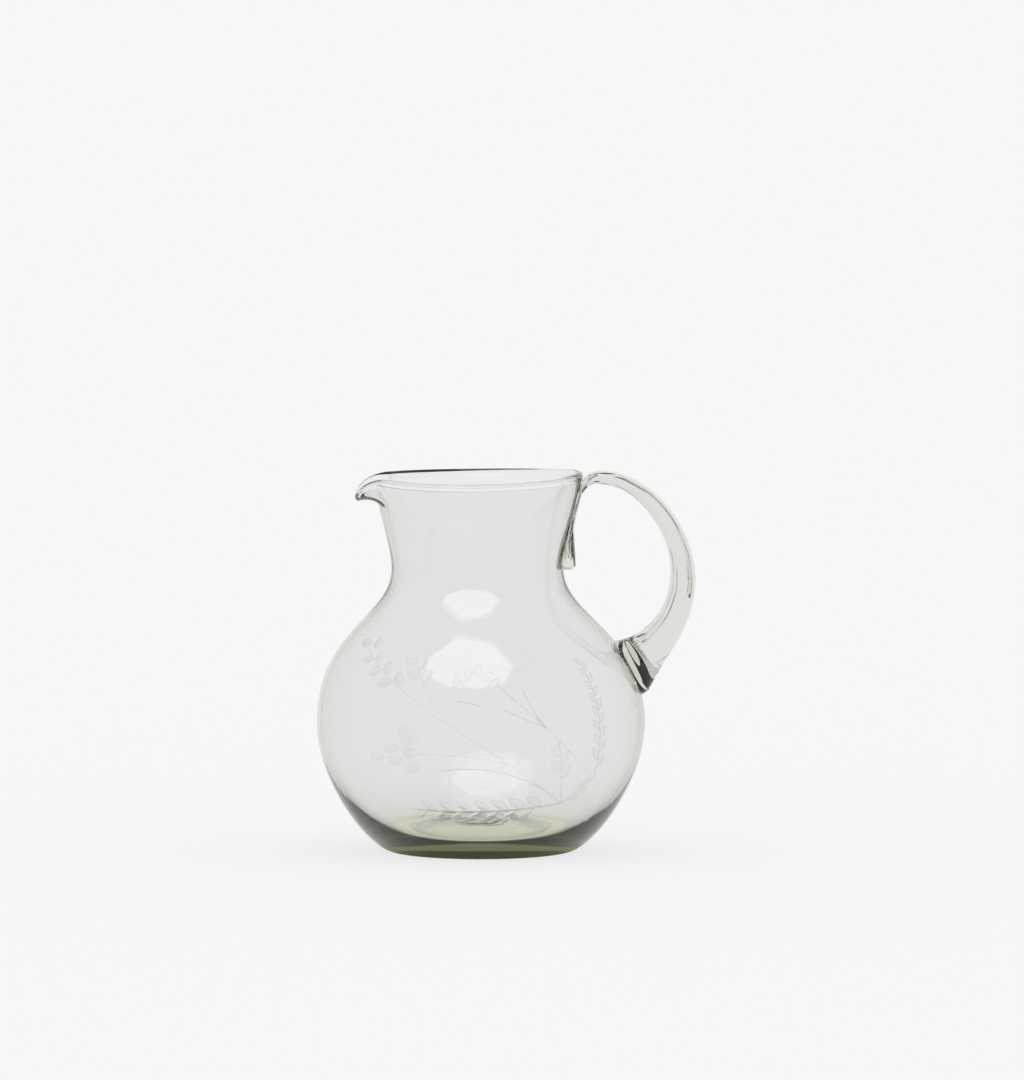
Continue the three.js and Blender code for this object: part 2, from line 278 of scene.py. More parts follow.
spray = dict(
    stemWidth=0.1, grooveWidth=1.2, stemDepth=0.14, leafDepth=0.1, leafEdge=0.6, leastSteepness=0.05,
    outlineWidth=0.6, outlineFade=(1.3, 0.5),  # an outline's edge from clear to full, in half widths; on leaves the outline is painted shade
    leafTaper=0.25, leafGap=0.6, leafSwell=0.4,  # smaller towards the tip, off the stem, fuller at its base
    paintedLowerShade=0.8,  # painted shade: how much darker a leaf's lower side is made
    turnRadius=84.0, stemPoints=25,  # the bowl's radius that turns are measured on
    fineSpacing=0.68,  # grid spacing in the engraved field
    lowHeight=15.0, highHeight=122.0, leftTurn=-72.0, rightTurn=52.0,
    # three points and how strongly the cut shows
    stems=dict(
        ground=([(42.7, 32.3), (6, 27.2), (-35, 29.5)], 0.9),
        link=([(42.7, 32.3), (51, 37), (60.5, 45.5)], 0.6),
        upright=([(60.5, 45.5), (64.5, 82), (52.5, 110)], 0.5),
        stalk=([(59.5, 46), (48, 60), (35.6, 74)], 0.4),
        middle=([(42.7, 32.3), (43, 48), (42.2, 66)], 0.5),
        long=([(42.7, 32.3), (-8, 71), (-59, 113.5)], 0.35),
        second=([(-19, 79), (-31, 96), (-34, 113)], 0.2),
        berry=([(13, 55), (-6, 61), (-41, 60)], 0.3),
        low=([(42.7, 32.3), (13, 58), (-21, 51)], 0.7),
        budHigh=([(35.6, 74), (28, 82), (22.8, 94.5)], 0.7),
        budMiddle=([(35.6, 74), (20, 88), (9, 97.5)], 0.7),
        budLow=([(35.6, 74), (24, 79), (12.6, 84)], 0.7),
        spike=([(0, 86.5), (-6, 88), (-12, 88.7)], 0.7),
    ),
    # stem, leaves on each side, first and last share of the stem, length, width, angle off the stem,
    # 1 for pointed or 2 for oval, strength of the outline (painted shade along the edge) and of the middle
    leaves=[
        ("ground", 7, 0.14, 0.98, 12.0, 4.8, 36, 1, 0.42, 0.12),
        ("upright", 8, 0.08, 0.97, 7.6, 3.2, 31, 1, 0.45, 0.16),
        ("link", 2, 0.20, 0.80, 8.0, 3.0, 20, 1, 0.42, 0.15),
        ("middle", 2, 0.45, 0.90, 8.0, 4.6, 36, 2, 0.26, 0.08),
        ("long", 3, 0.77, 0.98, 8.4, 5.2, 50, 2, 0.36, 0.18),
        ("second", 2, 0.56, 0.95, 8.0, 4.6, 58, 2, 0.24, 0.10),
    ],
    # places, length, width, turn and the two strengths (outline as painted shade, middle) of single
    # ovals: berries, petals and the long stem's tip
    ovals=[
        ([(-48, 62.7), (-55.6, 57.8), (-45.6, 56.2), (-36.5, 52.4), (-38, 60.5)], 8.4, 4.5, 4, 0.24, 0.09),
        ([(-6.0, 104), (-1.0, 105)], 7.0, 3.8, 95, 0.26, 0.05),
        ([(-12, 97.5), (-10, 101.5)], 7.0, 3.6, 150, 0.26, 0.05),
        ([(4, 102), (7.5, 98.5)], 7.0, 3.6, 35, 0.26, 0.05),
        ([(-60.5, 116.5)], 10.0, 4.8, 170, 0.50, 0.26),
        ([(-54, 117.5)], 7.5, 4.8, 100, 0.45, 0.22),
    ],
)


def onWall(points):  # front-view points to lengths round and along the wall
    across, z = np.asarray(points, float).T
    turn = np.arcsin(across / wallRadius(z))
    return np.stack([turn * spray["turnRadius"], wallLength(z)], axis=-1)


def stemCurve(points):  # quadratic curve through the bend of three points
    a, b, c = onWall(points)
    t = np.linspace(0, 1, spray["stemPoints"])[:, None]
    return a * (1 - t) ** 2 + 2 * b * t * (1 - t) + c * t ** 2


def stemAt(curve, share):  # point and heading at a share of a stem
    shares = np.linspace(0, 1, len(curve))
    place = np.array([np.interp(share, shares, values) for values in curve.T])
    across, up = (np.interp(share, shares, np.gradient(values)) for values in curve.T)
    return place, math.atan2(up, across)


def sprayCuts(around, up):
    # depth of the cuts; distance inside the nearest cut's edge, below zero outside it; and how strongly
    # its outline and its middle show; on leaves the outline and the middle's lower side are painted shade
    depth = np.zeros_like(around)
    inset = np.full_like(around, farOutside)
    outlines = np.zeros_like(around)
    fills = np.zeros_like(around)
    stems = {name: stemCurve(points) for name, (points, _) in spray["stems"].items()}

    def addCut(hollow, distance, outline, fill):
        nearer = distance > inset
        depth[:] = np.maximum(depth, hollow)
        outlines[nearer] = outline
        fills[nearer] = fill[nearer]
        inset[nearer] = distance[nearer]

    def cutLeaf(middle, heading, length, width, pointed, outline, fill):
        # inside where (2u / length) squared plus a power of v / belly is under 1
        u = (around - middle[0]) * math.cos(heading) + (up - middle[1]) * math.sin(heading)
        v = (up - middle[1]) * math.cos(heading) - (around - middle[0]) * math.sin(heading)
        swell = spray["leafSwell"]
        belly = width / 2 * np.clip(1 - swell * u / length, 1 - swell / 2, 1 + swell / 2)
        across = np.abs(v / belly)
        inside = 1 - (2 * u / length) ** 2 - across ** pointed
        steepness = np.hypot(8 * u / length ** 2, pointed * across ** (pointed - 1) / belly)
        # painted shade: the middle of a leaf is greyed more on its lower side
        upward = np.clip(v / belly * np.sign(math.cos(heading)), -1, 1)
        tone = fill * (1 - spray["paintedLowerShade"] * upward)
        distance = np.clip(inside / np.maximum(steepness, spray["leastSteepness"]), farOutside, -farOutside)
        addCut(spray["leafDepth"] * smooth(inside / spray["leafEdge"]), distance, outline, tone)

    for name, curve in stems.items():
        tone = spray["stems"][name][1]
        for start, end in zip(curve[:-1], curve[1:]):
            run = end - start
            share = ((around - start[0]) * run[0] + (up - start[1]) * run[1]) / (run @ run)
            share = np.clip(share, 0, 1)
            away = np.hypot(around - start[0] - share * run[0], up - start[1] - share * run[1])
            groove = np.clip(1 - (2 * away / spray["grooveWidth"]) ** 2, 0, 1)
            depthHere = spray["stemDepth"] * tone * groove
            addCut(depthHere, spray["stemWidth"] / 2 - away, tone, np.full_like(away, tone))
    for name, count, first, last, length, width, angle, pointed, *tones in spray["leaves"]:
        step = (last - first) / count
        for k in range(count):
            size = 1 - spray["leafTaper"] * k / count
            for side in (-1, 1):  # leaves on the two sides alternate
                place, heading = stemAt(stems[name], first + step * (k + (1 + side) / 4))
                turn = heading + side * math.radians(angle)
                reach = length * size / 2 + spray["leafGap"]
                middle = place + reach * np.array([math.cos(turn), math.sin(turn)])
                cutLeaf(middle, turn, length * size, width * size, pointed, *tones)
    for places, length, width, turn, *tones in spray["ovals"]:
        for middle in onWall(places):
            cutLeaf(middle, math.radians(turn), length, width, 2, *tones)
    return depth, inset, outlines, fills


# Strap handle: rounded sections carried along a line in the upright plane of the lip and the axis

handle = dict(
    footHeight=100.5, footLean=37.0, footStretch=24.0,
    gripStandoff=20.4, gripHeight=150.0, gripStretchDown=22.0, gripStretchUp=26.0,
    crownStandoff=8.6, crownDrop=0.9, crownStretch=24.0, bendDrop=11.0, bendStretch=5.5, tailLength=40.0,
    footThickness=33.0, footSpread=16.0, footWidth=30.0, footPad=3.0, footStep=6.0,
    padSlant=0.24, stepSlant=0.25, leastStep=2.0,  # per mm to the underside: pad thinner, step longer
    gripThickness=13.6, gripWidth=16.5, crownThickness=7.1, crownWidth=16.0,
    tailThickness=3.0, tailEndThickness=8.2, tailSwell=0.3, tailWidth=16.0,
    sectionPower=2.8, tailPower=2.0, powerFade=10.0, footSink=4.0, tailSink=1.4,
    padWrap=20.0, endRound=2.5, endBlunt=0.8, fuseDepth=0.9,  # how far the hot seal reaches into the wall
    sealFrom=0.6,  # share of the neck's radius past which the wall can touch the strap
    # small wrinkles across the folded tail, as a share of its width: wave length, slant and start of each
    wrinkleShare=0.016, wrinkleFade=8.0, wrinkles=[(2.4, 0.7, 0), (1.5, -1.1, 2)],
    footStations=84, footReach=30.0, strapStations=110, tailStations=130, tailReach=8.0,
    sides=224, capRings=8, tailPoints=801,
)


def tailThicknessAt(share):  # thin under the rim, thicker towards the sheared end
    late = (share - handle["tailSwell"]) / (1 - handle["tailSwell"])
    return mixed(handle["tailThickness"], handle["tailEndThickness"], late)


def handleCurves():  # foot to grip, grip to crown, crown to bend, and the tail along the neck's wall
    def wallAt(z):
        return np.array([wallRadius(z) - leanAt(z), z])

    tangent = wallAt(handle["footHeight"] + 1) - wallAt(handle["footHeight"] - 1)
    tangent = tangent / np.hypot(*tangent)
    foot = wallAt(handle["footHeight"]) - handle["footSink"] * np.array([tangent[1], -tangent[0]])
    leave = math.radians(handle["footLean"])
    grip = np.array([body["bowlRadius"] + handle["gripStandoff"], handle["gripHeight"]])
    crown = np.array([wallAt(rimEdge)[0] + handle["crownStandoff"], body["height"] - handle["crownDrop"]])
    tailTop = body["height"] - handle["bendDrop"]
    share = np.linspace(0, 1, handle["tailPoints"])
    tailZ = tailTop - share * handle["tailLength"]
    middle = tailThicknessAt(share) / 2 - handle["tailSink"]
    tail = np.stack([wallRadius(tailZ) - leanAt(tailZ) + middle, tailZ], axis=-1)
    tailUp = (tail[0] - tail[1]) / np.hypot(*(tail[0] - tail[1]))
    return [
        bezier(
            foot,
            foot + handle["footStretch"] * np.array([math.cos(leave), math.sin(leave)]),
            grip - (0, handle["gripStretchDown"]),
            grip,
        ),
        bezier(
            grip,
            grip + (0, handle["gripStretchUp"]),
            crown + (handle["crownStretch"], 0),
            crown,
        ),
        bezier(
            crown,
            crown - (handle["bendStretch"], 0),
            tail[0] + handle["bendStretch"] * tailUp,
            tail[0],
        ),
        tail,
    ]


handleParts = handleCurves()
handleLine = joined(*handleParts)
atGrip, atCrown, atTail, atEnd = np.cumsum([joined(part)[1][-1] for part in handleParts])


def strapSection(length):  # thickness in the handle's plane, and width across it
    out = length - handle["footSink"]
    flare = np.exp(-np.maximum(0, out) / handle["footSpread"])
    narrow = (out - handle["footPad"]) / handle["footStep"]
    toCrown = (length - atGrip) / (atCrown - atGrip)
    toTail = (length - atCrown) / (atTail - atCrown)
    toEnd = (length - atTail) / (atEnd - atTail)
    stretch = [length < atGrip, length < atCrown, length < atTail]
    thickness = np.select(stretch, [
        handle["gripThickness"] + (handle["footThickness"] - handle["gripThickness"]) * flare,
        handle["gripThickness"] + (handle["crownThickness"] - handle["gripThickness"]) * toCrown,
        mixed(handle["crownThickness"], handle["tailThickness"], toTail),
    ], tailThicknessAt(toEnd))
    width = np.select(stretch, [
        mixed(handle["footWidth"], handle["gripWidth"], narrow),
        mixed(handle["gripWidth"], handle["crownWidth"], toCrown),
        mixed(handle["crownWidth"], handle["tailWidth"], toTail),
    ], np.full_like(length, handle["tailWidth"]))
    return thickness, width


stationLengths = np.concatenate([
    np.linspace(0, handle["footReach"], handle["footStations"])[:-1],
    np.linspace(handle["footReach"], atCrown - handle["tailReach"], handle["strapStations"])[:-1],
    np.linspace(atCrown - handle["tailReach"], atEnd, handle["tailStations"]),
])
stationPlaces = along(handleLine, stationLengths)
stationHeadings = np.gradient(stationPlaces, axis=0)
stationHeadings /= np.hypot(*stationHeadings.T)[:, None]
stationNormals = np.stack([stationHeadings[:, 1], -stationHeadings[:, 0]], axis=-1)
stationThickness, stationWidth = strapSection(stationLengths)
toRound = (stationLengths - atCrown) / handle["powerFade"]
stationPower = mixed(handle["sectionPower"], handle["tailPower"], toRound)


# Creases that drawing and folding leave in the strap's faces: lengths along the strap where each starts and
# ends, share of the thickness from the outer edge (below zero: from the inner edge), widths at both ends,
# slope of its sides, how far it sways, and length over which it fades

creases = [
    (atGrip - 14, atCrown - 6, 0.24, 2.8, 0.9, 1.3, 0.10, 5),
    (13.5, atGrip + 22, -0.15, 1.8, 0.9, 1.2, 0.10, 5),
    (13.5, atGrip + 8, -0.29, 1.8, 0.9, 1.2, 0.14, 5),
    (atCrown - 2, atEnd - 3, 0.22, 0.9, 1.0, 1.0, 0.35, 6),
    (atCrown - 3, atTail + 17, -0.20, 1.6, 1.2, 1.0, 0.10, 5),
    (atTail + 8, atEnd - 4, 0.48, 0.8, 1.1, 1.0, 0.45, 5),
    (atTail + 16, atEnd - 6, -0.34, 0.8, 0.9, 0.9, 0.40, 5),
]
# where the strap was laid back on its foot; the crease curls up towards the strap's outer edge
fold = dict(out=9.8, slant=-0.12, curlFrom=5.5, curl=0.7, width=1.8, steep=1.1, jag=0.25)


def strapCreases(length, n):  # depth of V-shaped grooves that fade in and out along their length
    half = np.interp(length, stationLengths, stationThickness) / 2
    depth = np.zeros(np.broadcast(length, n).shape)
    waves = np.sin(length / 7) + np.sin(length / 2.9 + 1)  # two waves of unlike length
    for start, end, share, startWidth, endWidth, steep, sway, fadeLength in creases:
        edge = np.where(share > 0, half, -half) - share * 2 * half
        middle = edge + sway * waves
        width = startWidth + (endWidth - startWidth) * np.clip((length - start) / (end - start), 0, 1)
        fade = smooth((length - start) / fadeLength) * smooth((end - length) / fadeLength)
        depth = np.maximum(depth, steep * fade * np.maximum(width / 2 - np.abs(n - middle), 0))
    jag = fold["jag"] * (np.sin(n * 2.1) + np.sin(n * 5.3 + 1) / 2)
    place = handle["footSink"] + fold["out"] + fold["slant"] * n + jag
    place = place + fold["curl"] * np.maximum(0, n - fold["curlFrom"]) ** 2
    across = fold["width"] / 2 - np.abs(length - place)
    return np.maximum(depth, fold["steep"] * np.maximum(across, 0))


def padWidth(length, n):
    # width over the foot, whose pad slants: the step in from it starts later on the upper side
    out = length - handle["footSink"]
    start = handle["footPad"] - handle["padSlant"] * n
    share = (out - start) / np.maximum(handle["leastStep"], handle["footStep"] + handle["stepSlant"] * n)
    return mixed(handle["footWidth"], handle["gripWidth"], share)


def depthInWall(x, y, z):  # how far a point lies inside the outer wall; the pitcher's own axis is at x = 0
    return wallRadius(z) - np.hypot(x + leanAt(z), y)


def depthInStrap(x, y, z):
    # nearest station in the handle's plane, then how far the point lies inside that station's section
    away = np.hypot(x[:, None] - stationPlaces[None, :, 0], z[:, None] - stationPlaces[None, :, 1])
    near = np.argmin(away, axis=1)
    apart = np.stack([x, z], axis=-1) - stationPlaces[near]
    offset = np.sum(apart * stationNormals[near], axis=-1)
    past = np.sum(apart * stationHeadings[near], axis=-1)
    power = stationPower[near]
    width = np.where(near < handle["footStations"], handle["footWidth"], stationWidth[near])
    level = np.abs(2 * offset / stationThickness[near]) ** power + np.abs(2 * y / width) ** power
    depth = (1 - level ** (1 / power)) * stationThickness[near] / 2
    return np.where((near == len(stationLengths) - 1) & (past > 0), farOutside, depth)


def makeHandle(material):
    # section: superellipse of the station's thickness and width; the ends close by shrinking rings
    turn = np.linspace(0, 2 * np.pi, handle["sides"], endpoint=False)
    close = np.linspace(0, 1, handle["capRings"] + 1)[1:-1]
    count = len(stationLengths)
    ring = np.concatenate([np.zeros(len(close), int), np.arange(count), np.full(len(close), count - 1)])
    blunt = np.clip((stationLengths - atEnd) / handle["endRound"] + 1, 0, handle["endBlunt"])
    rounded = np.sqrt(1 - blunt ** 2)  # the sheared end is rounded
    size = np.concatenate([close, rounded, rounded[-1] * close[::-1]])
    power = 2 / stationPower[ring][:, None]
    shapeN = np.sign(np.cos(turn)) * np.abs(np.cos(turn)) ** power
    shapeY = np.sign(np.sin(turn)) * np.abs(np.sin(turn)) ** power
    n = size[:, None] * stationThickness[ring][:, None] / 2 * shapeN
    length = stationLengths[ring][:, None]
    width = np.where(length < atGrip, padWidth(length, n), stationWidth[ring][:, None])
    y = size[:, None] * width / 2 * shapeY
    folded = smooth((length - atTail) / handle["wrinkleFade"])
    wrinkle = sum(np.sin(length / wave + slant * n + start) for wave, slant, start in handle["wrinkles"])
    y = y * (1 + handle["wrinkleShare"] * folded * wrinkle)
    y = y * (1 - strapCreases(length, n) / (width / 2))
    x = stationPlaces[ring, 0][:, None] + n * stationNormals[ring, 0][:, None]
    z = stationPlaces[ring, 1][:, None] + n * stationNormals[ring, 1][:, None]
    wrap = smooth(1 - length / handle["padWrap"])  # the foot follows the bowl's roundness
    x = x - wrap * y ** 2 / (2 * wallRadius(handle["footHeight"]))
    points = np.stack([x, y, z], axis=-1).reshape(-1, 3)
    ends = np.array([[stationPlaces[k, 0], 0, stationPlaces[k, 1]] for k in (0, -1)])
    points = np.concatenate([points, ends])
    # what would reach through the wall is drawn back to the seal
    depth = depthInWall(*points.T)
    deep = np.maximum(0, depth - handle["fuseDepth"])
    deep = np.where(points[:, 2] < body["height"], deep, 0)
    turnOut = np.arctan2(points[:, 1], points[:, 0] + leanAt(points[:, 2]))
    points[:, 0] += deep * np.cos(turnOut)
    points[:, 1] += deep * np.sin(turnOut)
    sealDepth = np.minimum(depth, handle["fuseDepth"])
    points[:, 0] += axisX
    rows, columns = len(ring), handle["sides"]
    fans = endFans(columns, (rows - 1) * columns, rows * columns)
    return meshPiece("appliedHandle", points, ringQuads(0, rows, columns), fans,
                     dict(sealDepth=sealDepth), material)


# Pontil scar under the base

scar = dict(
    radius=15.0, thickness=0.7, thinFrom=0.5, edgeShare=0.1, fuseDepth=0.5,
    ragged=0.9, lobes=5, chipped=0.35, chips=13, roughHeight=0.36,
    rings=24, columns=120,
)


def kickAt(radius):  # height of the pushed-up underside
    return raised(radius, kickRadius, 0, body["kickHeight"])


def scarEdge(turn):  # radius less a slow wave and a quick one
    slow = scar["ragged"] * (1 + np.cos(scar["lobes"] * turn)) / 2
    return scar["radius"] - slow - scar["chipped"] * (1 + np.sin(scar["chips"] * turn)) / 2


def makeScar(material):
    # a wad of glass, sunk into the base on top; its broken face follows the dome of the base, is rough
    # in the middle along crossing spiral waves, and thins towards its flame-smoothed edge
    turn = np.linspace(0, 2 * np.pi, scar["columns"], endpoint=False)
    share = np.linspace(0, 1, scar["rings"] + 1)[1:]
    edge = scarEdge(turn)
    radius = share[:, None] * edge
    rough = np.sin(5 * turn + 9 * share[:, None]) * np.sin(3 * turn - 14 * share[:, None])
    rough = scar["roughHeight"] * (share * (1 - share))[:, None] * rough
    thinner = (share[:, None] - scar["thinFrom"]) / (1 - scar["thinFrom"])
    layer = scar["thickness"] * mixed(1, scar["edgeShare"], thinner)
    face = kickAt(radius) - layer + rough
    top = kickAt(radius) + scar["fuseDepth"]
    rings = np.concatenate([face, top[::-1]])
    radii = np.concatenate([radius, radius[::-1]])
    x = radii * np.sin(turn)
    y = -radii * np.cos(turn)
    points = np.stack([x, y, rings], axis=-1).reshape(-1, 3)
    ends = np.array([[0, 0, kickAt(0) - scar["thickness"]], [0, 0, kickAt(0) + scar["fuseDepth"]]])
    points = np.concatenate([points, ends])
    sealDepth = points[:, 2] - kickAt(np.hypot(points[:, 0], points[:, 1]))
    points[:, 0] += axisX
    rows, columns = len(rings), scar["columns"]
    fans = endFans(columns, (rows - 1) * columns, rows * columns)
    return meshPiece("pontilScar", points, ringQuads(0, rows, columns), fans,
                     dict(sealDepth=sealDepth), material)


# The body's grid: rings of points from the middle of the underside, up the outer wall, over the rim
# and down inside. Rings in the engraved field have more points, so rows of unlike counts are zipped.

grid = dict(
    plainColumns=160, backColumns=110, wallSpacing=1.9, innerSpacing=2.4,
    beadRows=24, domeRows=12, standRows=4,
)


def ripple(lengths, end, turns, phase):
    # sum of low waves round and along a wall, eased in from its start and out towards its end
    length, turn = lengths[:, None], turns[None, :]
    calm = smooth(length / body["rippleStart"]) * smooth((end - length) / body["rippleFade"])
    waves = (height * np.sin(count * turn + perMm * length + times * phase)
             for count, perMm, times, height in body["ripples"])
    return calm * body["rippleHeight"] * sum(waves) / 2


def lopAt(turns):
    # the bead is highest on its inner side, most of all at the back and the lip's tip,
    # and round along the lip's sides
    fromLip = np.degrees(np.abs(np.mod(turns + 1.5 * np.pi, 2 * np.pi) - np.pi))

    def eased(start, over):
        return smooth((fromLip - start) / over)

    *fallOff, fall = body["lopBackFall"]
    *easeIn, front = body["lopFront"]
    back = smooth(0.5 - 2 * np.cos(turns))  # 0 in front, 1 at the back
    backLop = eased(*body["lopBack"]) * (1 - fall * eased(*fallOff))
    frontLop = front * eased(*easeIn)
    return body["beadLop"] * (1 - eased(0, body["lopTip"]) + back * backLop + (1 - back) * frontLop)


def makeBody(material):
    plainTurns = np.linspace(0, 2 * np.pi, grid["plainColumns"], endpoint=False)
    left, right = math.radians(spray["leftTurn"]), math.radians(spray["rightTurn"])
    fineStep = spray["fineSpacing"] / body["bowlRadius"]
    fine = spread(left, right, fineStep)
    rest = spread(right, left + 2 * np.pi, 2 * np.pi / grid["backColumns"])[1:-1]
    fineTurns = np.sort(np.mod(np.concatenate([fine, rest]), 2 * np.pi))
    fieldLow, fieldHigh = wallLength(spray["lowHeight"]), wallLength(spray["highHeight"])
    wallEnd = outerLine[1][-1]
    innerEnd = innerLine[1][-1]

    domeR = np.linspace(0, kickRadius, grid["domeRows"] + 1)[1:]
    standR = np.linspace(kickRadius, body["standRadius"], grid["standRows"] + 1)[1:-1]
    bead = np.linspace(-beadStart, np.pi + beadStart, grid["beadRows"] + 1)[1:-1]
    lowLengths = spread(0, fieldLow, grid["wallSpacing"])[:-1]
    fieldLengths = spread(fieldLow, fieldHigh, spray["fineSpacing"])
    highLengths = spread(fieldHigh, wallEnd, grid["wallSpacing"])[1:]
    innerLengths = spread(innerEnd, 0, grid["innerSpacing"])[:-1]

    dome = np.stack([domeR, kickAt(domeR)], axis=-1)
    stand = np.stack([standR, np.zeros_like(standR)], axis=-1)
    lowWall = along(outerLine, lowLengths)
    fieldWall = along(outerLine, fieldLengths)
    highWall = along(outerLine, highLengths)
    beadLine = np.stack([
        body["rimRadius"] - body["rimWall"] / 2 + beadRadius * np.cos(bead),
        beadHeight + beadRadius * np.sin(bead)], axis=-1)
    innerWall = along(innerLine, innerLengths)
    beadRise = -beadRadius * np.maximum(0, np.sin(bead))[:, None] * np.cos(bead)[:, None] * lopAt(plainTurns)
    lowWave = ripple(lowLengths, wallEnd, plainTurns, body["outerPhase"])
    fieldWave = ripple(fieldLengths, wallEnd, fineTurns, body["outerPhase"])
    highWave = ripple(highLengths, wallEnd, plainTurns, body["outerPhase"])
    innerWave = ripple(innerLengths, innerEnd, plainTurns, body["innerPhase"])

    turnsFromFront = np.mod(fineTurns + np.pi, 2 * np.pi) - np.pi
    around = np.broadcast_to(turnsFromFront * spray["turnRadius"], (len(fieldLengths), len(fineTurns)))
    up = np.broadcast_to(fieldLengths[:, None], around.shape)
    depth, *cutLayers = sprayCuts(around, up)

    slope = np.gradient(fieldWall, axis=0)
    slope /= np.hypot(*slope.T)[:, None]
    fieldR = fieldWall[:, :1] - depth * slope[:, 1:] + fieldWave
    fieldZ = fieldWall[:, 1:] + depth * slope[:, :1]

    lower = np.concatenate([dome, stand, lowWall])
    lowerWave = np.concatenate([np.zeros((len(dome) + len(stand), grid["plainColumns"])), lowWave])
    upper = np.concatenate([highWall, beadLine, innerWall])
    upperWave = np.concatenate([highWave, np.zeros((len(beadLine), grid["plainColumns"])), innerWave])
    upperZ = np.repeat(upper[:, 1:], grid["plainColumns"], axis=1)
    upperZ[len(highWall):len(highWall) + len(beadLine)] += beadRise
    bands = [
        (lower[:, :1] + lowerWave, np.repeat(lower[:, 1:], grid["plainColumns"], axis=1), plainTurns),
        (fieldR, fieldZ, fineTurns),
        (upper[:, :1] + upperWave, upperZ, plainTurns),
    ]
    points, quads, triangles = [], [], []
    start = 0
    lastRing = None
    for radius, height, turns in bands:
        rows, columns = radius.shape
        x, y, z = pullLip(radius * np.sin(turns), -radius * np.cos(turns), height)
        points.append(np.stack(leanAndTilt(x, y, z), axis=-1).reshape(-1, 3))
        quads.append(ringQuads(start, rows, columns))
        if lastRing is not None:
            triangles.append(zipRings(*lastRing, start, turns))
        lastRing = (start + (rows - 1) * columns, turns)
        start += rows * columns
    poles = np.array([[0, 0, body["kickHeight"]], [0, 0, floorPeak]])
    points = np.concatenate(points + [poles])
    triangles = np.concatenate(triangles + [endFans(grid["plainColumns"], lastRing[0], start)])

    fieldStart = len(lower) * grid["plainColumns"]
    layers = {}
    for key, values in zip(("cutInset", "cutLineAndEdgeShade", "cutMatteAndShade"), cutLayers):
        layers[key] = np.full(len(points), farOutside if key == "cutInset" else 0.0)
        layers[key][fieldStart:fieldStart + depth.size] = values.ravel()
    sealDepth = np.full(len(points), farOutside)
    outerEnd = fieldStart + depth.size + len(highWall) * grid["plainColumns"]
    nearHandle = np.arange(len(points)) < outerEnd
    nearHandle &= points[:, 0] > body["neckRadius"] * handle["sealFrom"]
    nearHandle &= np.abs(points[:, 1]) < handle["footWidth"]
    nearHandle &= points[:, 2] > handle["footHeight"] - handle["footThickness"]
    sealDepth[nearHandle] = depthInStrap(*points[nearHandle].T)
    under = np.arange(len(points)) < len(dome) * grid["plainColumns"]
    under[start] = True
    radius = np.hypot(points[under, 0], points[under, 1])
    sealDepth[under] = scarEdge(np.arctan2(points[under, 0], -points[under, 1])) - radius
    points[:, 0] += axisX
    return meshPiece("blownBody", points, np.concatenate(quads), triangles,
                     dict(sealDepth=sealDepth, **layers), material)


def zipRings(startA, turnsA, startB, turnsB):
    # walks round both rings in order of angle; each step adds the triangle to the next point
    countA, countB = len(turnsA), len(turnsB)
    stepsA = np.append(turnsA[1:], turnsA[0] + 2 * np.pi)
    stepsB = np.append(turnsB[1:], turnsB[0] + 2 * np.pi)
    order = np.argsort(np.concatenate([stepsA, stepsB]), kind="stable")
    isA = order < countA
    doneA = np.cumsum(isA) - isA
    doneB = np.cumsum(~isA) - ~isA
    i, iNext = doneA % countA, (doneA + 1) % countA
    j, jNext = doneB % countB, (doneB + 1) % countB
    stepA = np.stack([startA + i, startA + iNext, startB + j], axis=-1)
    stepB = np.stack([startA + i, startB + jNext, startB + j], axis=-1)
    return np.where(isA[:, None], stepA, stepB)


# Soda-lime glass, blown and fire-polished: clear and smooth, with a green cast that gathers in thick parts
# and a faint unevenness from the blowing. Engraved cuts are left matte.

glass = dict(
    indexOfRefraction=1.5, polishedRoughness=0.0, mattRoughness=0.32, brokenRoughness=0.15,
    wallTint="f7f7f9", cutFrostAndShade="a5a4a1",  # what one wall lets through, and where it is cut: matte grey, deepened as painted shade on leaf edges
    absorbPerMetre=(10.5, 10.0, 16.0),  # red, green and blue light lost in a metre of glass
    strapAbsorbPerMetre=(10.5, 10.3, 14.0),
    densityShare=1.05,  # a little over the strongest loss, so that no colour is wholly lost
    rippleSize=24.0, rippleDepth=0.03,
)


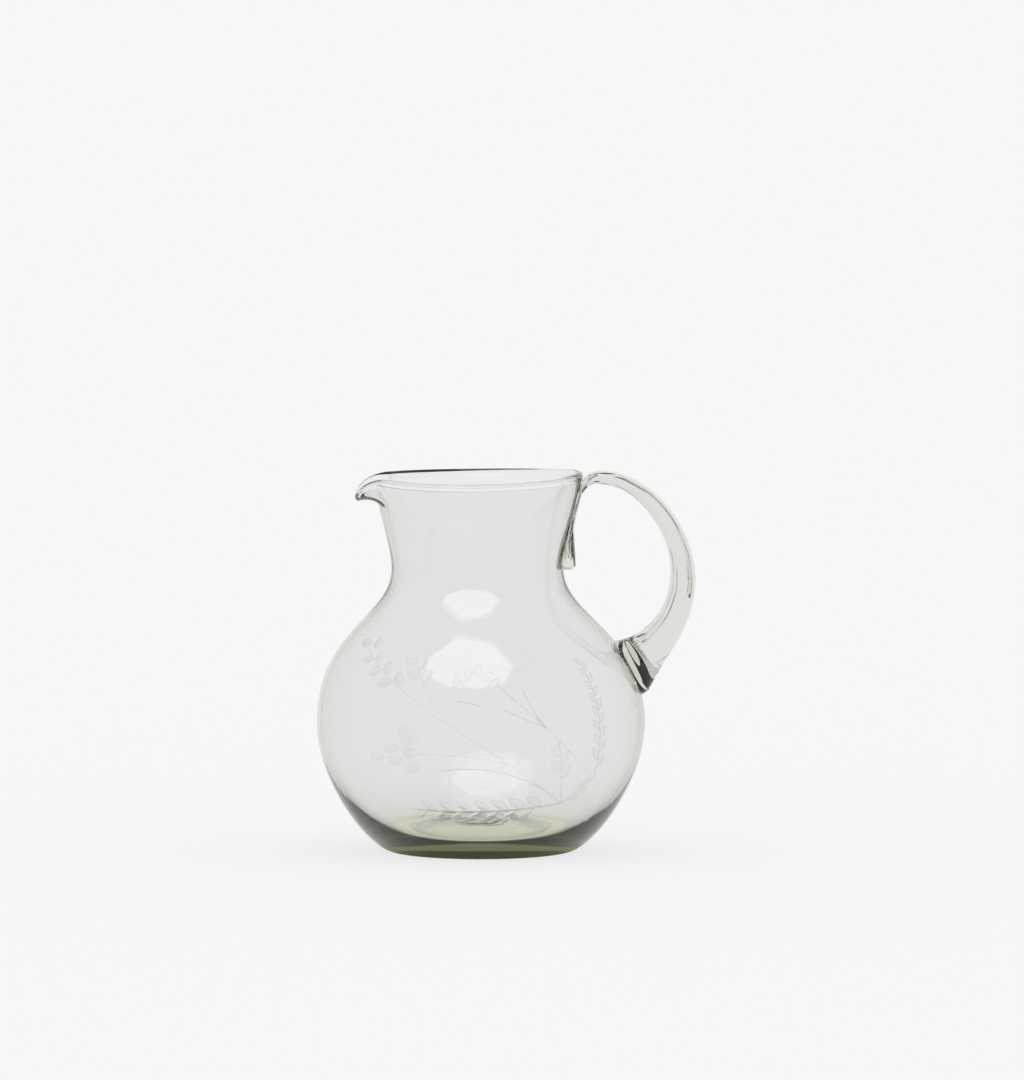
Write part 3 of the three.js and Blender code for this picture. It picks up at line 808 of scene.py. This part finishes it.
def makeGlass(name, roughness, absorbed, engraved=False):
    material = bpy.data.materials.new(name)
    material.use_nodes = True
    tree = material.node_tree
    tree.nodes.clear()
    # where two pieces are fused, no face is left to bend or tint light
    seal = addNode(tree, "ShaderNodeAttribute", attribute_name="sealDepth")
    fused = mathNode(tree, "GREATER_THAN", seal.outputs["Fac"], 0.0)
    index = ranged(tree, fused, 0.0, 1.0, glass["indexOfRefraction"], 1.0)
    colour = blend(tree, fused, linearColour(glass["wallTint"]), linearColour("ffffff"))
    place = addNode(tree, "ShaderNodeTexCoord")
    noise = addNode(tree, "ShaderNodeTexNoise", {
        "Vector": place.outputs["Object"], "Scale": 1 / (glass["rippleSize"] * mm), "Detail": 1.0})
    bump = addNode(tree, "ShaderNodeBump", {
        "Height": noise.outputs["Fac"], "Strength": 1.0, "Distance": glass["rippleDepth"] * mm})
    if engraved:  # each cut has a grey outline, painted shade on leaves, and a paler matte middle
        inset, outline, fill = (addNode(tree, "ShaderNodeAttribute", attribute_name=key).outputs["Fac"]
                                for key in ("cutInset", "cutLineAndEdgeShade", "cutMatteAndShade"))
        half = spray["outlineWidth"] / 2
        clearAt, fullAt = spray["outlineFade"]
        line = ranged(tree, mathNode(tree, "ABSOLUTE", inset), half * clearAt, half * fullAt, toMax=outline)
        middle = ranged(tree, inset, -half, half, toMax=fill)
        cut = mathNode(tree, "MAXIMUM", line, middle)
        colour = blend(tree, cut, colour, linearColour(glass["cutFrostAndShade"]))
        roughness = ranged(tree, cut, 0.0, 1.0, roughness, glass["mattRoughness"])
    shader = addNode(tree, "ShaderNodeBsdfPrincipled", {
        "Base Color": colour, "Roughness": roughness, "IOR": index,
        "Transmission Weight": 1.0, "Normal": bump.outputs["Normal"]})
    density = max(absorbed) * glass["densityShare"]
    passed = tuple(1 - v / density for v in absorbed) + (1.0,)
    tint = addNode(tree, "ShaderNodeVolumeAbsorption", {"Color": passed, "Density": density})
    addNode(tree, "ShaderNodeOutputMaterial", {
        "Surface": shader.outputs["BSDF"], "Volume": tint.outputs["Volume"]})
    return material


blownGlass = makeGlass("blownSodaGlass", glass["polishedRoughness"], glass["absorbPerMetre"], engraved=True)
drawnGlass = makeGlass("drawnSodaGlass", glass["polishedRoughness"], glass["strapAbsorbPerMetre"])
brokenGlass = makeGlass("brokenSodaGlass", glass["brokenRoughness"], glass["absorbPerMetre"])
pieces = [
    (makeBody(blownGlass), "blown_body", "body_glass"),
    (makeHandle(drawnGlass), "applied_handle", "handle_glass"),
    (makeScar(brokenGlass), "pontil_scar", "scar_glass"),
]
for piece, node, slot in pieces:
    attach(piece, "root")
    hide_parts(node)
    print(piece.name, sum(len(p.vertices) - 2 for p in piece.data.polygons), "triangles")


# Studio: pale floor, pale sides, dim ceiling and one octagonal soft light in front, above and left

studio = dict(
    paleGrey="f7f7f7", floorSize=80.0, plainLight=1.0,
    sidesUpTo=25.0, sidesFade=30.0, ceiling="41472c",
    # painted light and shade: after one mirroring, light finds an even pale; after three or more, a painted
    # dark olive shade
    paintedMirroredOnce="f5f5f3", paintedShadeMirroredOften="454b1a", mirrorings=(1.0, 3.0),
    # painted shade and green on the paper under the base, standing in for the light that reaches it through
    # the glass
    paintedShadeUnderBase="f4f2dc", paintedShadeUnderBaseOnce="767c50", paintedShadeUnderBaseFade=14.0,
    baseWalls=3,  # most faces of glass that light crosses on its way through the base alone
    shadowShare=0.22,  # part of the floor's light that a shadow can take away
    boxTurn=-13.0, boxRise=59.25, boxRadius=21.75, boxStretch=1.18, boxEdge=0.96, boxLight=2.5,
)


def paintedByMirroring(tree, direct, once):  # painted light and shade: the colour that light finds, straight, mirrored once or often
    mirrorings = addNode(tree, "ShaderNodeLightPath").outputs["Glossy Depth"]
    often = ranged(tree, mirrorings, *studio["mirrorings"])
    dimmed = blend(tree, often, once, linearColour(studio["paintedShadeMirroredOften"]))
    return blend(tree, mathNode(tree, "GREATER_THAN", mirrorings, 0.5), direct, dimmed)


def makeFloor():
    half = studio["floorSize"] / 2
    mesh = bpy.data.meshes.new("floor")
    corners = [(-half, -half, 0), (half, -half, 0), (half, half, 0), (-half, half, 0)]
    mesh.from_pydata(corners, [], [(0, 1, 2, 3)])
    floor = bpy.data.objects.new("floor", mesh)
    bpy.context.scene.collection.objects.link(floor)
    material = bpy.data.materials.new("paleStudioPaper")
    material.use_nodes = True
    tree = material.node_tree
    tree.nodes.clear()
    place = addNode(tree, "ShaderNodeTexCoord")
    away = addNode(tree, "ShaderNodeVectorMath", {
        0: place.outputs["Object"], 1: (axisX * mm, 0, 0)}, operation="DISTANCE")
    # painted shade and green: paper near and under the standing ring takes the under-base colours, except
    # where the camera sees it straight, and for mirrored light only through few walls
    ringEdge, fade = body["standRadius"] * mm, studio["paintedShadeUnderBaseFade"] * mm
    under = ranged(tree, away.outputs["Value"], ringEdge + fade, ringEdge, ease="SMOOTHSTEP")
    path = addNode(tree, "ShaderNodeLightPath")
    under = mathNode(tree, "SUBTRACT", under, path.outputs["Is Camera Ray"], use_clamp=True)
    fewWalls = mathNode(tree, "LESS_THAN", path.outputs["Transmission Depth"], studio["baseWalls"] + 0.5)
    underOnce = mathNode(tree, "MULTIPLY", under, fewWalls)
    paperKeys = ("paleGrey", "paintedShadeUnderBase", "paintedMirroredOnce", "paintedShadeUnderBaseOnce")
    clear, covered, clearOnce, coveredOnce = (linearColour(studio[key]) for key in paperKeys)
    direct = blend(tree, under, clear, covered)
    once = blend(tree, underOnce, clearOnce, coveredOnce)
    shade = paintedByMirroring(tree, direct, once)
    paper = addNode(tree, "ShaderNodeBsdfDiffuse", {"Color": shade})
    glow = addNode(tree, "ShaderNodeEmission", {"Color": shade})
    both = addNode(tree, "ShaderNodeMixShader", {
        0: studio["shadowShare"], 1: glow.outputs["Emission"], 2: paper.outputs["BSDF"]})
    addNode(tree, "ShaderNodeOutputMaterial", {"Surface": both.outputs["Shader"]})
    mesh.materials.append(material)


def makeWorld():
    world = bpy.data.worlds.new("studio")
    bpy.context.scene.world = world
    world.use_nodes = True
    tree = world.node_tree
    tree.nodes.clear()

    def sums(operation, a, b=0.0):
        return mathNode(tree, operation, a, b)

    def shareOf(direction):
        return addNode(tree, "ShaderNodeVectorMath", {0: look.outputs["Generated"], 1: direction},
                       operation="DOT_PRODUCT").outputs["Value"]

    look = addNode(tree, "ShaderNodeTexCoord")
    low, high = (math.sin(math.radians(studio["sidesUpTo"] + k * studio["sidesFade"])) for k in (0, 1))
    overhead = ranged(tree, shareOf((0, 0, 1)), low, high, ease="SMOOTHSTEP")
    sides = blend(tree, overhead, linearColour(studio["paleGrey"]), linearColour(studio["ceiling"]))
    turn, rise = math.radians(studio["boxTurn"]), math.radians(studio["boxRise"])
    centre = Vector((math.sin(turn) * math.cos(rise), -math.cos(turn) * math.cos(rise), math.sin(rise)))
    right = Vector((math.cos(turn), math.sin(turn), 0))
    upward = right.cross(centre) * -1
    u = sums("ABSOLUTE", sums("DIVIDE", shareOf(right), studio["boxStretch"]))
    v = sums("ABSOLUTE", shareOf(upward))
    corner = sums("MULTIPLY", sums("ADD", u, v), math.sqrt(0.5))
    reach = sums("MAXIMUM", sums("MAXIMUM", u, v), corner)
    size = math.sin(math.radians(studio["boxRadius"]))
    inBox = ranged(tree, reach, size, size * studio["boxEdge"], toMax=studio["boxLight"], ease="SMOOTHSTEP")
    facing = sums("GREATER_THAN", shareOf(centre), 0.0)
    path = addNode(tree, "ShaderNodeLightPath")
    # painted light and shade: mirrored light finds an even pale room, and dark olive after many mirrorings
    room = paintedByMirroring(tree, sides, linearColour(studio["paintedMirroredOnce"]))
    picture = addNode(tree, "ShaderNodeVectorMath", {
        0: room, 1: sums("MULTIPLY", inBox, facing)}, operation="MAXIMUM").outputs["Vector"]
    seen = sums("MAXIMUM", path.outputs["Is Camera Ray"], path.outputs["Is Glossy Ray"])
    seen = sums("MAXIMUM", seen, path.outputs["Is Transmission Ray"])
    plain = (studio["plainLight"], studio["plainLight"], studio["plainLight"], 1.0)
    level = blend(tree, seen, plain, picture)
    light = addNode(tree, "ShaderNodeBackground", {"Color": level, "Strength": 1.0})
    addNode(tree, "ShaderNodeOutputWorld", {"Surface": light.outputs["Background"]})


makeFloor()
makeWorld()
print("studio ready")


# Camera at the photograph's viewing angle

view = dict(
    distance=6.0, rise=4.9, targetHeight=100.0,
    millimetresPerPixel=0.5432, targetPixel=(480.8, 667.0), frameSize=(1024, 1080), sensor=36.0,
    nearClip=0.1,
)


def makeCamera():
    rise = math.radians(view["rise"])
    target = Vector((axisX * mm, 0, view["targetHeight"] * mm))
    back = Vector((0, -math.cos(rise), math.sin(rise)))
    upward = Vector((0, math.sin(rise), math.cos(rise)))
    pixel = view["millimetresPerPixel"] * mm
    aim = target + Vector((1, 0, 0)) * (view["frameSize"][0] / 2 - view["targetPixel"][0]) * pixel
    aim += upward * (view["targetPixel"][1] - view["frameSize"][1] / 2) * pixel
    data = bpy.data.cameras.new("camera")
    data.sensor_width = view["sensor"]
    data.lens = view["sensor"] * view["distance"] / (view["frameSize"][1] * pixel)
    data.clip_start, data.clip_end = view["nearClip"], studio["floorSize"] * 2
    camera = bpy.data.objects.new("camera", data)
    camera.location = target + back * view["distance"]
    camera.rotation_mode = "QUATERNION"
    camera.rotation_quaternion = (aim - camera.location).to_track_quat("-Z", "Y")
    bpy.context.scene.collection.objects.link(camera)
    bpy.context.scene.camera = camera


makeCamera()
scene = bpy.context.scene
scene.view_settings.view_transform = "Standard"
scene.cycles.max_bounces = 32  # light crosses many walls of glass before it leaves
scene.cycles.transmission_bounces = 32
scene.cycles.glossy_bounces = 16
